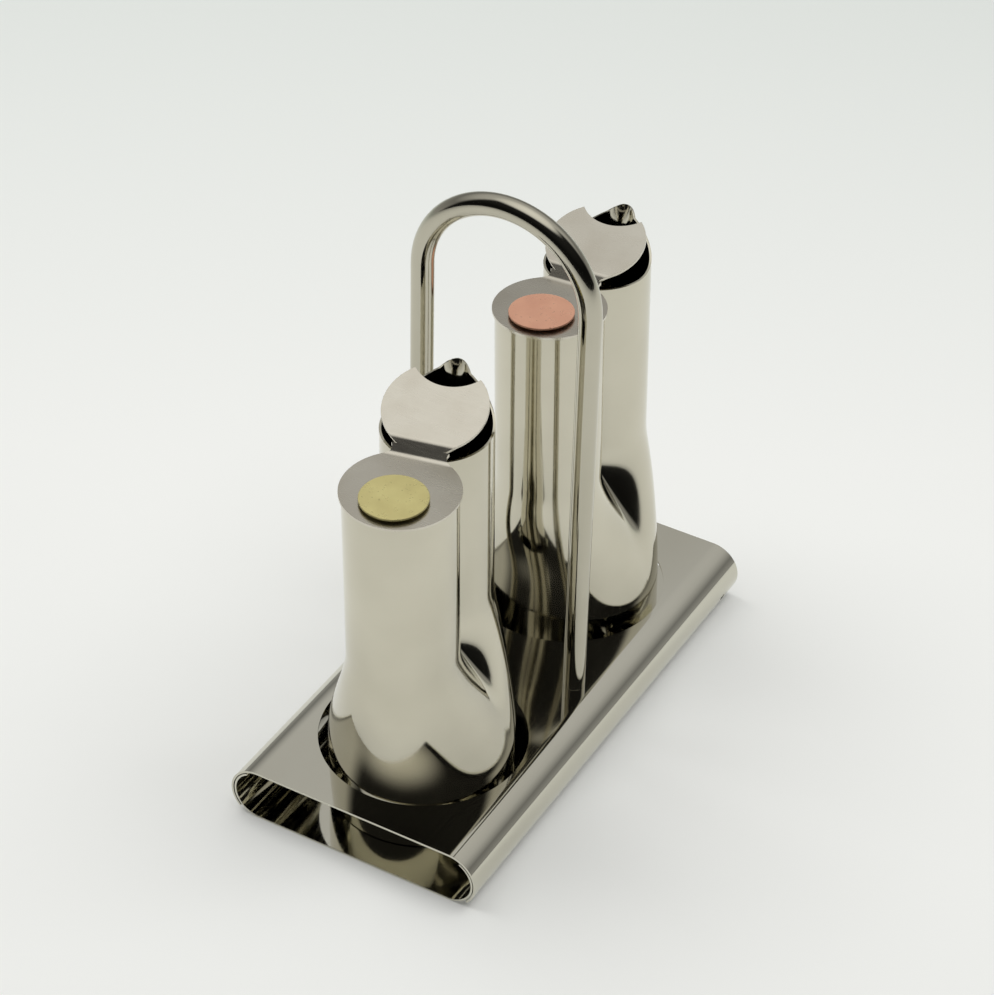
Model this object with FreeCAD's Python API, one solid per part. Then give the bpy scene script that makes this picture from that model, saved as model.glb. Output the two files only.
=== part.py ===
import FreeCAD, Part
import math
import os

# Cruet set: a low flat holder of bent sheet with two round holes, a drip tray that slides
# in under it as a drawer, a bent tube handle, and two pouring cruets with loose lids.
# Millimetres, +Z up, origin on the table under the middle of the holder.
# X runs across the holder, Y along it. The open drawer end looks towards -Y.

# Sheet and tube
SHEET = 0.8                  # stainless sheet of the holder and the tray
BODY_WALL = 0.8              # wall of a cruet
RUN_GAP = 0.35               # tray to holder, all along the rolled sides
STAND_GAP = 0.35             # foot of a cruet above the tray, which slides out under it
SEAT_GAP = 0.1               # lid on a cruet
JOIN_GAP = 0.05              # pieces of one welded or screwed assembly

# Holder
HOLDER_LENGTH = 200.0
HOLDER_WIDTH = 100.0
SIDE_RADIUS = 11.2           # outside of the rolled long sides
SHELL_WRAP = 45.0            # degrees the shell sides wrap past the widest point
TRAY_WRAP = 62.0             # degrees the tray sides rise past the widest point
TRAY_FOLD = 14.0             # degrees of the crisp fold between the tray's floor and sides
HOLE_RADIUS = 37.6
HOLE_OFFSET = 51.6           # hole centre from the middle of the holder

# Catch that keeps the drawer shut
CATCH_FROM_END = 12.0        # middle of the catch from the far end
CATCH_ANGLE = -14.0          # degrees round the side, 0 is the widest point
CATCH_SLOT_LENGTH = 3.2
CATCH_SLOT_HEIGHT = 1.6
CATCH_BUMP_RISE = 0.3        # pressed bump of the tray, enters the slot
CATCH_BUMP_RADIUS = 1.3

# Handle
HANDLE_TUBE_RADIUS = 4.1
HANDLE_TUBE_WALL = 1.0
HANDLE_HALF_SPAN = 32.6      # centre line of a leg from the middle
HANDLE_TOP = 214.0           # centre line of the arch above the table
PLUG_DEPTH = 14.0            # threaded plug inside each leg
SCREW_RADIUS = 1.5
SCREW_HEAD_RADIUS = 3.0
SCREW_HEAD_HEIGHT = 1.8
SCREW_BITE = 8.0             # how far the screw enters the plug
SCREW_BORE_SPARE = 1.0       # bore beyond the screw's end
SCREW_SLOT = 0.8             # driver slot, width and depth
SCREW_HEAD_ROUND = 0.9       # rounding of the head's rim

# Cruet body
FOOT_RADIUS = 33.5
TUBE_RADIUS = 19.5
TUBE_SPACING = 36.8          # between the two tube centres
CREASE_RADIUS = 1.6          # hollow fillet between the tubes
CREASE_GROWTH = 100.0        # times wider the fillet gets on its way down to the round foot
BODY_HEIGHT = 146.4          # foot to the level rim
ROUND_HEIGHT = 15.0          # still round up to here
TUBES_HEIGHT = 80.0          # two straight tubes from here up
SPOUT_RISE = 12.4            # tip of the spout above the level rim
SPOUT_SWEEP = 4.0            # the rim starts to rise this far before the tube's centre
SPOUT_SHARPNESS = 0.98       # share of the sweep's ellipse that the rim uses
FOOT_SPLIT = 0.01            # radians, half of the short arc in the round foot's outline
BEAK_RADIUS = 6.0            # half width of the lip
BEAK_REACH = 4.0             # lip beyond the tube
BEAK_DROP = 9.0              # beak starts this far below the level rim
BEAK_ROOT_RADIUS = 4.4
BASE_RECESS = 2.0            # base plate above the foot's edge

# Lid
LID_SHEET = 1.0
LID_FRONT_RADIUS = 20.4
LID_REAR_RADIUS = 18.2
LID_REAR_SETBACK = 1.8       # rear disc centre nearer the thumb side than its tube
LID_REAR_RISE = 8.6          # rear disc centre above the front lobe
LID_TILT = 18.0              # degrees, rear disc up towards the spout
LID_STEP_START = 17.2        # flat lobe ends here, from its centre
LID_STEP_LENGTH = 4.4
LID_BEND_RADIUS = 2.8
LID_NECK_FILLET = 1.3
LID_MOUTH_RADIUS = 15.2      # pouring cut-out
LID_MOUTH_DEPTH = 9.4        # cut-out into the rear disc
LID_COLLAR_HEIGHT = 5.0      # collar under the lid, inside the thumb-side tube
LID_COLLAR_WALL = 0.8
LID_COLLAR_GAP = 0.45

# Thumb disc
DISC_RADIUS = 11.7
DISC_THICKNESS = 0.9
DISC_CHAMFER = 0.15
DISC_LIFT = 0.9              # shadow gap under the disc
DISC_OFFSET = 6.2            # from the lobe's centre, away from the spout
STEM_RADIUS = 4.0
STEM_HEAD_RADIUS = 5.2
STEM_HEAD_HEIGHT = 0.8

# How the loose cruets stand in their holes: shift of the foot from the hole's centre, the
# spout's angle from +X, and the slight lean of the cruet towards +X and +Y in degrees
FRONT_CRUET_SHIFT_X = 1.6
FRONT_CRUET_SHIFT_Y = -2.8
FRONT_CRUET_TURN = 102.0
FRONT_CRUET_LEAN_X = 0.0
FRONT_CRUET_LEAN_Y = -1.6
REAR_CRUET_SHIFT_X = 1.2
REAR_CRUET_SHIFT_Y = 2.6
REAR_CRUET_TURN = 91.5
REAR_CRUET_LEAN_X = -2.2
REAR_CRUET_LEAN_Y = 1.4

# Heights that follow from the sizes above
TRAY_RADIUS = SIDE_RADIUS - SHEET - RUN_GAP
ARC_HEIGHT = TRAY_RADIUS                       # centre of the rolled sides
ARC_OFFSET = HOLDER_WIDTH / 2 - SIDE_RADIUS
DECK_TOP = ARC_HEIGHT + SIDE_RADIUS
DECK_UNDER = DECK_TOP - SHEET
CRUET_FOOT = SHEET + STAND_GAP
LID_TOP = BODY_HEIGHT + SEAT_GAP + LID_SHEET   # above the cruet's foot

UP = FreeCAD.Vector(0, 0, 1)
ALONG = FreeCAD.Vector(0, 1, 0)
CUT_THROUGH = 3 * SHEET                        # length of a tool that pierces one sheet


def vec(x, y, z):
    return FreeCAD.Vector(x, y, z)


def save(shape, name):
    shape.exportStep("parts/" + name + ".step")
    print(name, "volume", round(shape.Volume, 1), "solids", len(shape.Solids))


def arc_edge(centre, radius, start, middle, end):
    """Arc in the XZ plane through three angles given in degrees."""
    points = []
    for angle in (start, middle, end):
        a = math.radians(angle)
        points.append(centre + vec(radius * math.cos(a), 0, radius * math.sin(a)))
    return Part.Arc(*points).toShape()


def flat_half_width(radius, end, flat_z):
    """Half width of the flat that the rolled side's tangent at this angle runs into."""
    a = math.radians(end)
    drop = ARC_HEIGHT + radius * math.sin(a) - flat_z
    if abs(drop) < JOIN_GAP:
        return ARC_OFFSET
    return ARC_OFFSET + radius * math.cos(a) + drop * math.tan(a)


def rolled_profile(outer, start, end, flat_z_outer, flat_z_inner):
    """Closed strip profile: two rolled sides joined by a flat sheet.

    start and end are the angles of the right side, from its free edge to the flat. Where the
    side ends before it is level, a short straight flank carries it on to a fold in the sheet.
    """
    edges = []
    middle = (start + end) / 2
    right = vec(ARC_OFFSET, 0, ARC_HEIGHT)
    left = vec(-ARC_OFFSET, 0, ARC_HEIGHT)
    for radius, flat_z in ((outer, flat_z_outer), (outer - SHEET, flat_z_inner)):
        roll = arc_edge(right, radius, start, middle, end)
        other = arc_edge(left, radius, 180 - start, 180 - middle, 180 - end)
        half = flat_half_width(radius, end, flat_z)
        fold = vec(half, 0, flat_z)
        other_fold = vec(-half, 0, flat_z)
        edges += [roll, other, Part.makeLine(fold, other_fold)]
        if half > ARC_OFFSET:
            edges.append(Part.makeLine(roll.Vertexes[-1].Point, fold))
            edges.append(Part.makeLine(other.Vertexes[-1].Point, other_fold))
    a = math.radians(start)
    for side, sign in ((right, 1), (left, -1)):
        outward = vec(sign * math.cos(a), 0, math.sin(a))
        edges.append(Part.makeLine(side + outward * outer, side + outward * (outer - SHEET)))
    return Part.Face(Part.Wire(Part.__sortEdges__(edges)))


def along_holder(face):
    """Extrude a cross-section over the holder's length."""
    face = face.copy()
    face.translate(vec(0, -HOLDER_LENGTH / 2, 0))
    return face.extrude(vec(0, HOLDER_LENGTH, 0))


def catch_frame(side):
    """Centre of the rolled side and outward direction at the catch."""
    a = math.radians(CATCH_ANGLE)
    centre = vec(side * ARC_OFFSET, HOLDER_LENGTH / 2 - CATCH_FROM_END, ARC_HEIGHT)
    return centre, vec(side * math.cos(a), 0, math.sin(a))


def make_shell():
    """Upper sheet: flat deck with the two holes, and sides rolled under."""
    shell = along_holder(rolled_profile(SIDE_RADIUS, -SHELL_WRAP, 90, DECK_TOP, DECK_UNDER))
    for y in (-HOLE_OFFSET, HOLE_OFFSET):
        hole = Part.makeCylinder(HOLE_RADIUS, CUT_THROUGH, vec(0, y, DECK_UNDER - SHEET), UP)
        shell = shell.cut(hole)
    for x in (-HANDLE_HALF_SPAN, HANDLE_HALF_SPAN):
        low = vec(x, 0, DECK_UNDER - SHEET)
        bore = Part.makeCylinder(SCREW_RADIUS + JOIN_GAP, CUT_THROUGH, low, UP)
        shell = shell.cut(bore)
    half_run = (CATCH_SLOT_LENGTH - CATCH_SLOT_HEIGHT) / 2
    for side in (-1, 1):
        centre, outward = catch_frame(side)
        start = centre + outward * (SIDE_RADIUS - 2 * SHEET)
        ends = [start + vec(0, y, 0) for y in (-half_run, half_run)]
        slot = Part.makeCylinder(CATCH_SLOT_HEIGHT / 2, CUT_THROUGH, ends[0], outward)
        slot = slot.fuse(Part.makeCylinder(CATCH_SLOT_HEIGHT / 2, CUT_THROUGH, ends[1], outward))
        across = outward.cross(ALONG) * (CATCH_SLOT_HEIGHT / 2)
        corners = [ends[0] - across, ends[1] - across, ends[1] + across, ends[0] + across]
        web = Part.Face(Part.makePolygon(corners + corners[:1])).extrude(outward * CUT_THROUGH)
        shell = shell.cut(slot.fuse(web))
    return shell


def make_tray():
    """Drip tray: flat floor with rolled sides that run inside the shell's sides."""
    tray = along_holder(rolled_profile(TRAY_RADIUS, TRAY_WRAP, TRAY_FOLD - 90, 0, SHEET))
    for side in (-1, 1):
        centre, outward = catch_frame(side)
        depth = TRAY_RADIUS + CATCH_BUMP_RISE - CATCH_BUMP_RADIUS
        ball = Part.makeSphere(CATCH_BUMP_RADIUS, centre + outward * depth)
        end = vec(centre.x, -HOLDER_LENGTH / 2, centre.z)
        mid_sheet = Part.makeCylinder(TRAY_RADIUS - SHEET / 2, HOLDER_LENGTH, end, ALONG)
        tray = tray.fuse(ball.cut(mid_sheet))
    return tray


def handle_path():
    """Centre line of the bent tube: leg, half circle, leg."""
    span = HANDLE_HALF_SPAN
    spring = HANDLE_TOP - span
    left = Part.makeLine(vec(-span, 0, DECK_TOP), vec(-span, 0, spring))
    arch = Part.Arc(vec(-span, 0, spring), vec(0, 0, spring + span), vec(span, 0, spring)).toShape()
    right = Part.makeLine(vec(span, 0, spring), vec(span, 0, DECK_TOP))
    return Part.Wire([left, arch, right])


def make_handle():
    """Bent tube standing on the deck between the two holes."""
    path = handle_path()
    start = vec(-HANDLE_HALF_SPAN, 0, DECK_TOP)

    def swept(radius):
        ring = Part.Wire(Part.makeCircle(radius, start, UP))
        return path.makePipeShell([ring], True, False)

    return swept(HANDLE_TUBE_RADIUS).cut(swept(HANDLE_TUBE_RADIUS - HANDLE_TUBE_WALL))


def make_handle_plug(x):
    """Threaded plug pressed into the end of a leg."""
    radius = HANDLE_TUBE_RADIUS - HANDLE_TUBE_WALL - JOIN_GAP
    plug = Part.makeCylinder(radius, PLUG_DEPTH, vec(x, 0, DECK_TOP), UP)
    depth = SCREW_BITE + SCREW_BORE_SPARE
    bore = Part.makeCylinder(SCREW_RADIUS + JOIN_GAP, depth, vec(x, 0, DECK_TOP), UP)
    return plug.cut(bore)


def make_handle_screw(x):
    """Pan head screw from under the deck into the plug."""
    seat = DECK_UNDER - JOIN_GAP
    low = seat - SCREW_HEAD_HEIGHT
    head = Part.makeCylinder(SCREW_HEAD_RADIUS, SCREW_HEAD_HEIGHT, vec(x, 0, low), UP)
    rims = [e for e in head.Edges if e.BoundBox.ZMax < seat - JOIN_GAP and len(e.Vertexes) == 1]
    head = head.makeFillet(SCREW_HEAD_ROUND, rims)
    corner = vec(x - SCREW_HEAD_RADIUS, -SCREW_SLOT / 2, low)
    slot = Part.makeBox(2 * SCREW_HEAD_RADIUS, SCREW_SLOT, SCREW_SLOT, corner)
    length = SHEET + JOIN_GAP + SCREW_BITE
    shank = Part.makeCylinder(SCREW_RADIUS, length, vec(x, 0, seat), UP)
    return head.cut(slot).fuse(shank).removeSplitter()


def blend(height):
    """0 where the body is round, 1 where it is two tubes, smooth between."""
    t = (height - ROUND_HEIGHT) / (TUBES_HEIGHT - ROUND_HEIGHT)
    t = min(max(t, 0.0), 1.0)
    return t * t * t * (t * (6 * t - 15) + 10)


def lobe_radius(spacing, crease, girth):
    """Radius of two equal lobes whose outline, with hollow fillets, has this girth."""
    low = girth / (4 * math.pi)
    high = girth / (2 * math.pi)
    for _ in range(60):
        r = (low + high) / 2
        reach = math.acos(min(1.0, (spacing / 2) / (r + crease)))
        length = 4 * (math.pi - reach) * r + 2 * crease * (math.pi - 2 * reach)
        if length > girth:
            high = r
        else:
            low = r
    return (low + high) / 2


def body_girth(share):
    """Girth runs from the round foot's to the two tubes'."""
    reach = math.acos((TUBE_SPACING / 2) / (TUBE_RADIUS + CREASE_RADIUS))
    tubes = 4 * (math.pi - reach) * TUBE_RADIUS + 2 * CREASE_RADIUS * (math.pi - 2 * reach)
    return 2 * math.pi * FOOT_RADIUS * (1 - share) + tubes * share


def outline_arcs(height, inset):
    """Outline of the body at a height, moved in by inset, as equal arcs in order round it.

    Each arc is centre, radius, start and end angle. Two lobes and two hollow fillets.
    """
    share = blend(height)
    if share == 0:
        half = 0.0
        r = FOOT_RADIUS
        reach = math.pi / 2 - FOOT_SPLIT
        dips = [(vec(0, 0, height), r - inset, reach, math.pi - reach)]
        dips.append((vec(0, 0, height), r - inset, math.pi + reach, 2 * math.pi - reach))
        lobe_end = reach
    else:
        half = TUBE_SPACING * share / 2
        crease = CREASE_RADIUS * CREASE_GROWTH ** (1 - share)
        r = lobe_radius(2 * half, crease, body_girth(share))
        reach = math.acos(half / (r + crease))
        dip = math.sqrt((r + crease) ** 2 - half ** 2)
        dips = [(vec(0, dip, height), crease + inset, -reach, reach - math.pi)]
        dips.append((vec(0, -dip, height), crease + inset, math.pi - reach, reach))
        lobe_end = math.pi - reach
    right = (vec(half, 0, height), r - inset, -lobe_end, lobe_end)
    left = (vec(-half, 0, height), r - inset, math.pi - lobe_end, math.pi + lobe_end)
    arcs = []
    for (centre, radius, first, last), pieces in ((right, 4), (dips[0], 2), (left, 4), (dips[1], 2)):
        step = (last - first) / pieces
        arcs += [(centre, radius, first + i * step, first + (i + 1) * step) for i in range(pieces)]
    return arcs


def arc_poles(centre, radius, start, end):
    """Three poles and weights of an exact arc."""
    half = (end - start) / 2
    weight = math.cos(half)
    poles = []
    for angle, reach in ((start, radius), (start + half, radius / weight), (end, radius)):
        poles.append(centre + vec(reach * math.cos(angle), reach * math.sin(angle), 0))
    return poles, [1.0, weight, 1.0]


def body_solid(inset, bottom, top):
    """Closed solid of the body's outline carried smoothly from foot to tubes."""
    steps = 9
    degree = 3
    levels = [bottom, ROUND_HEIGHT]
    levels += [ROUND_HEIGHT + (TUBES_HEIGHT - ROUND_HEIGHT) * i / steps for i in range(1, steps + 1)]
    levels.append(top)
    flat = [bottom] * degree + levels + [top] * degree
    pole_heights = [sum(flat[i + 1:i + 1 + degree]) / degree for i in range(len(levels) + degree - 1)]
    sections = [[arc_poles(*arc) for arc in outline_arcs(h, inset)] for h in pole_heights]
    along = [degree + 1] + [1] * (len(levels) - 2) + [degree + 1]
    faces = []
    for k in range(len(sections[0])):
        poles = [[s[k][0][i] for s in sections] for i in range(3)]
        weights = [[s[k][1][i] for s in sections] for i in range(3)]
        surface = Part.BSplineSurface()
        surface.buildFromPolesMultsKnots(
            poles, [3, 3], along, [0.0, 1.0], levels, False, False, 2, degree, weights)
        faces.append(surface.toShape())
    for h in (bottom, top):
        rim = []
        for centre, radius, first, last in outline_arcs(h, inset):
            ends = [centre + vec(radius * math.cos(a), radius * math.sin(a), 0)
                    for a in (first, (first + last) / 2, last)]
            rim.append(Part.Arc(*ends).toShape())
        faces.append(Part.Face(Part.Wire(rim)))
    shell = Part.Compound(faces)
    shell.sewShape(0.001)
    return Part.Solid(shell.Shells[0])


def beak_solid(inset):
    """Half-round pouring beak that leans out of the spout-side tube."""
    edge = TUBE_SPACING / 2 + TUBE_RADIUS
    low_z = BODY_HEIGHT - BEAK_DROP
    top_z = BODY_HEIGHT + SPOUT_RISE + 2
    low_centre = vec(edge - BEAK_ROOT_RADIUS - BODY_WALL / 2, 0, low_z)
    top_centre = vec(edge - BEAK_RADIUS + BEAK_REACH, 0, top_z)
    low = Part.makeCircle(BEAK_ROOT_RADIUS - inset, low_centre, UP)
    top = Part.makeCircle(BEAK_RADIUS - inset, top_centre, UP)
    return Part.makeLoft([Part.Wire(low), Part.Wire(top)], True, True)


def rim_cutter():
    """Everything above the rim: level over the thumb side, swept up to the spout."""
    start = TUBE_SPACING / 2 - SPOUT_SWEEP
    end = TUBE_SPACING / 2 + TUBE_RADIUS
    long_axis = (end - start) / SPOUT_SHARPNESS
    drop = 1 - math.sqrt(1 - SPOUT_SHARPNESS ** 2)
    rise_axis = SPOUT_RISE / drop

    def on_sweep(u):
        x = (u - start) / long_axis
        return vec(u, 0, BODY_HEIGHT + rise_axis * (1 - math.sqrt(1 - x * x)))

    count = 7
    shares = [math.sin(math.pi / 2 * i / count) for i in range(count + 1)]
    sweep_points = [on_sweep(start + (end - start) * share) for share in shares]
    curve = Part.BSplineCurve()
    curve.interpolate(sweep_points)
    far = end + 3 * BEAK_REACH
    high = BODY_HEIGHT + 3 * SPOUT_RISE
    tip = sweep_points[-1]
    outline = [
        Part.makeLine(vec(-3 * FOOT_RADIUS, 0, BODY_HEIGHT), sweep_points[0]),
        curve.toShape(),
        Part.makeLine(tip, vec(far, 0, tip.z)),
        Part.makeLine(vec(far, 0, tip.z), vec(far, 0, high)),
        Part.makeLine(vec(far, 0, high), vec(-3 * FOOT_RADIUS, 0, high)),
        Part.makeLine(vec(-3 * FOOT_RADIUS, 0, high), vec(-3 * FOOT_RADIUS, 0, BODY_HEIGHT)),
    ]
    face = Part.Face(Part.Wire(outline))
    face.translate(vec(0, -2 * FOOT_RADIUS, 0))
    return face.extrude(vec(0, 4 * FOOT_RADIUS, 0))


def make_body():
    """Round foot drawn into two tubes, with a pouring beak on one of them."""
    top = BODY_HEIGHT + SPOUT_RISE + 1
    outer = body_solid(0, 0, top).fuse(beak_solid(0))
    inner = body_solid(BODY_WALL, -1, top + 1).fuse(beak_solid(BODY_WALL))
    return outer.cut(inner).cut(rim_cutter())


def make_base():
    """Base plate let into the foot, a shallow pan with its rim down."""
    radius = FOOT_RADIUS - BODY_WALL - JOIN_GAP
    plate = Part.makeCylinder(radius, BASE_RECESS + BODY_WALL, vec(0, 0, 0), UP)
    hollow = Part.makeCylinder(radius - BODY_WALL, BASE_RECESS, vec(0, 0, 0), UP)
    return plate.cut(hollow)


def lid_layout():
    """Front lobe centre, rear disc centre and the rear plane's direction, in the cruet's frame."""
    tilt = math.radians(LID_TILT)
    front = vec(-TUBE_SPACING / 2, 0, LID_TOP)
    rear = vec(TUBE_SPACING / 2 - LID_REAR_SETBACK, 0, LID_TOP + LID_REAR_RISE)
    uphill = vec(math.cos(tilt), 0, math.sin(tilt))
    normal = vec(-math.sin(tilt), 0, math.cos(tilt))
    return front, rear, uphill, normal


def lid_strip():
    """Wide bent strip with the lid's side profile: flat, step up, rising rear."""
    front, rear, uphill = lid_layout()[:3]
    begin = vec(front.x - 2 * LID_FRONT_RADIUS, 0, LID_TOP)
    bend = vec(front.x + LID_STEP_START, 0, LID_TOP)
    back = (bend.x + LID_STEP_LENGTH - rear.x) / uphill.x
    landing = rear + uphill * back
    end = rear + uphill * (2 * LID_REAR_RADIUS)
    top_points = [begin, bend, landing, end]
    directions = [(q - p).normalize() for p, q in zip(top_points, top_points[1:])]
    normals = [vec(-d.z, 0, d.x) for d in directions]
    lower = [begin - normals[0] * LID_SHEET]
    for i in (1, 2):
        mid = (normals[i - 1] + normals[i]).normalize()
        lower.append(top_points[i] - mid * (LID_SHEET / mid.dot(normals[i])))
    lower.append(end - normals[2] * LID_SHEET)
    outline = Part.makePolygon(top_points + lower[::-1] + [top_points[0]])
    width = 3 * LID_FRONT_RADIUS
    strip = Part.Face(outline)
    strip.translate(vec(0, -width / 2, 0))
    strip = strip.extrude(vec(0, width, 0))

    def bend_edges(points):
        found = []
        for e in strip.Edges:
            if e.BoundBox.YLength > width - 1:
                for p in points:
                    if abs(e.BoundBox.XMin - p.x) < 0.01 and abs(e.BoundBox.ZMin - p.z) < 0.01:
                        found.append(e)
        return found

    tight = bend_edges([top_points[1], lower[2]])
    strip = strip.makeFillet(LID_BEND_RADIUS, tight)
    wide = bend_edges([lower[1], top_points[2]])
    return strip.makeFillet(LID_BEND_RADIUS + LID_SHEET, wide)


def make_lid():
    """One sheet: front lobe flat on the thumb-side tube, rear disc raised towards the spout."""
    front, rear, uphill, normal = lid_layout()
    depth = 2 * LID_FRONT_RADIUS
    lobe = Part.makeCylinder(LID_FRONT_RADIUS, 2 * depth, front - UP * depth, UP)
    disc = Part.makeCylinder(LID_REAR_RADIUS, 2 * depth, rear - normal * depth, normal)
    gap = rear.x - front.x
    d1 = LID_FRONT_RADIUS + LID_NECK_FILLET
    d2 = LID_REAR_RADIUS + LID_NECK_FILLET
    u = (d1 * d1 - d2 * d2 + gap * gap) / (2 * gap)
    v = math.sqrt(d1 * d1 - u * u)
    t1 = vec(u * LID_FRONT_RADIUS / d1, v * LID_FRONT_RADIUS / d1, 0)
    t2 = vec(gap + (u - gap) * LID_REAR_RADIUS / d2, v * LID_REAR_RADIUS / d2, 0)
    low = front - UP * depth
    corners = [vec(t1.x, t1.y, 0), vec(t2.x, t2.y, 0), vec(t2.x, -t2.y, 0), vec(t1.x, -t1.y, 0)]
    web = Part.Face(Part.makePolygon([low + c for c in corners + corners[:1]])).extrude(UP * 2 * depth)
    for side in (-1, 1):
        web = web.cut(Part.makeCylinder(LID_NECK_FILLET, 2 * depth, low + vec(u, side * v, 0), UP))
    mouth_centre = rear + uphill * (LID_REAR_RADIUS - LID_MOUTH_DEPTH + LID_MOUTH_RADIUS)
    mouth = Part.makeCylinder(LID_MOUTH_RADIUS, 2 * depth, mouth_centre - normal * depth, normal)
    outline = lobe.fuse(disc).fuse(web)
    lid = lid_strip().common(outline).cut(mouth)
    low = front - vec(DISC_OFFSET, 0, depth)
    stem = Part.makeCylinder(STEM_RADIUS + JOIN_GAP, 2 * depth, low, UP)
    return lid.cut(stem)


def make_lid_collar():
    """Shallow cup under the front lobe that locates the lid in its tube."""
    front = lid_layout()[0]
    radius = TUBE_RADIUS - BODY_WALL - LID_COLLAR_GAP
    top = LID_TOP - LID_SHEET - JOIN_GAP
    height = LID_COLLAR_HEIGHT + LID_COLLAR_WALL
    low = vec(front.x, 0, top - height)
    cup = Part.makeCylinder(radius, height, low, UP)
    hollow = Part.makeCylinder(radius - LID_COLLAR_WALL, LID_COLLAR_HEIGHT, low, UP)
    stem_low = low - vec(DISC_OFFSET, 0, 0)
    stem = Part.makeCylinder(STEM_RADIUS + JOIN_GAP, 2 * height, stem_low, UP)
    return cup.cut(hollow).cut(stem)


def make_thumb_disc():
    """Coin-like disc on a stem that rivets lid and collar together."""
    front = lid_layout()[0]
    x = front.x - DISC_OFFSET
    disc = Part.makeCylinder(DISC_RADIUS, DISC_THICKNESS, vec(x, 0, LID_TOP + DISC_LIFT), UP)
    disc = disc.makeChamfer(DISC_CHAMFER, [e for e in disc.Edges if len(e.Vertexes) == 1])
    foot = LID_TOP - LID_SHEET - 2 * JOIN_GAP - LID_COLLAR_WALL
    stem = Part.makeCylinder(STEM_RADIUS, LID_TOP + DISC_LIFT - foot, vec(x, 0, foot), UP)
    low = vec(x, 0, foot - STEM_HEAD_HEIGHT)
    rivet = Part.makeCylinder(STEM_HEAD_RADIUS, STEM_HEAD_HEIGHT, low, UP)
    return disc.fuse(stem).fuse(rivet).removeSplitter()


def place(shape, x, y, turn, lean_x, lean_y):
    """Stand a cruet piece in its hole, spout turned, leaning on the edge of its foot."""
    upright = vec(math.tan(math.radians(lean_x)), math.tan(math.radians(lean_y)), 1).normalize()
    lean = math.acos(upright.z)
    placed = shape.copy()
    placed.rotate(vec(0, 0, 0), UP, turn)
    if lean > 0:
        placed.rotate(vec(0, 0, 0), UP.cross(upright), math.degrees(lean))
    placed.translate(vec(x, y, CRUET_FOOT + FOOT_RADIUS * math.sin(lean)))
    return placed


os.makedirs("parts", exist_ok=True)

save(make_shell(), "holder_shell")
save(make_tray(), "drip_tray")
save(make_handle(), "handle")
plugs = Part.makeCompound([make_handle_plug(x) for x in (-HANDLE_HALF_SPAN, HANDLE_HALF_SPAN)])
save(plugs, "handle_plugs")
screws = Part.makeCompound([make_handle_screw(x) for x in (-HANDLE_HALF_SPAN, HANDLE_HALF_SPAN)])
save(screws, "handle_screws")

pieces = {
    "body": make_body(),
    "base": make_base(),
    "lid": make_lid(),
    "lid_collar": make_lid_collar(),
    "thumb_disc": make_thumb_disc(),
}
front_stand = (FRONT_CRUET_SHIFT_X, FRONT_CRUET_SHIFT_Y - HOLE_OFFSET, FRONT_CRUET_TURN,
               FRONT_CRUET_LEAN_X, FRONT_CRUET_LEAN_Y)
rear_stand = (REAR_CRUET_SHIFT_X, REAR_CRUET_SHIFT_Y + HOLE_OFFSET, REAR_CRUET_TURN,
              REAR_CRUET_LEAN_X, REAR_CRUET_LEAN_Y)
for cruet, stand in (("oil", front_stand), ("vinegar", rear_stand)):
    for name, shape in pieces.items():
        save(place(shape, *stand), cruet + "_" + name)
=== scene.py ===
"""Cruet set with a drip tray that pulls out as a drawer: shapes, finishes, studio and camera."""
import math

import bmesh
import bpy
from mathutils import Matrix, Vector


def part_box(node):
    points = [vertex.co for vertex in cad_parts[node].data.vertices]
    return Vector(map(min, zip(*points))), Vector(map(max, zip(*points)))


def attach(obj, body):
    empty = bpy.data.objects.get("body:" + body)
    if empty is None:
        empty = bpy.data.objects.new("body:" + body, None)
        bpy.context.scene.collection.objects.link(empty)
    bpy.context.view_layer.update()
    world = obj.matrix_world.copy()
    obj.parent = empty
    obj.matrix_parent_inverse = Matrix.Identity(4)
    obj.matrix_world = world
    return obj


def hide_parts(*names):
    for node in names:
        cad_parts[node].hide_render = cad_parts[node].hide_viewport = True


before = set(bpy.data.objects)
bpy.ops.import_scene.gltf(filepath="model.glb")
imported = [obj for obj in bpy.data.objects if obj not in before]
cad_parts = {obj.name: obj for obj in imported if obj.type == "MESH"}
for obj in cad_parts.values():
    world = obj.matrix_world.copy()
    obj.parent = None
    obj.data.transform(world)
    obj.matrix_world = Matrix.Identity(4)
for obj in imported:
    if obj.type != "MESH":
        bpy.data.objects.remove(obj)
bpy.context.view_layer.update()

MM = 0.001

# Sheet and tube sizes that the frame doesn't give
SHEET = 0.8 * MM
BODY_WALL = 0.8 * MM
SIDE_RADIUS = 11.2 * MM
SHELL_WRAP = math.radians(45)
TRAY_WRAP = math.radians(62)
TRAY_FOLD = math.radians(14)
HOLE_RADIUS = 37.6 * MM
HOLE_OFFSET = 51.6 * MM
CATCH_FROM_END = 12.0 * MM
CATCH_ANGLE = math.radians(-14)
CATCH_SLOT_LENGTH = 3.2 * MM
CATCH_SLOT_HEIGHT = 1.6 * MM
CATCH_BUMP_RADIUS = 1.3 * MM
CATCH_BUMP_RISE = 0.3 * MM
HANDLE_TUBE_RADIUS = 4.1 * MM

# Sizes taken from the frame
HOLDER_HALF_WIDTH, HOLDER_HALF_LENGTH, DECK_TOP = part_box("holder_shell")[1]
ARC_HEIGHT = DECK_TOP - SIDE_RADIUS

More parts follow.
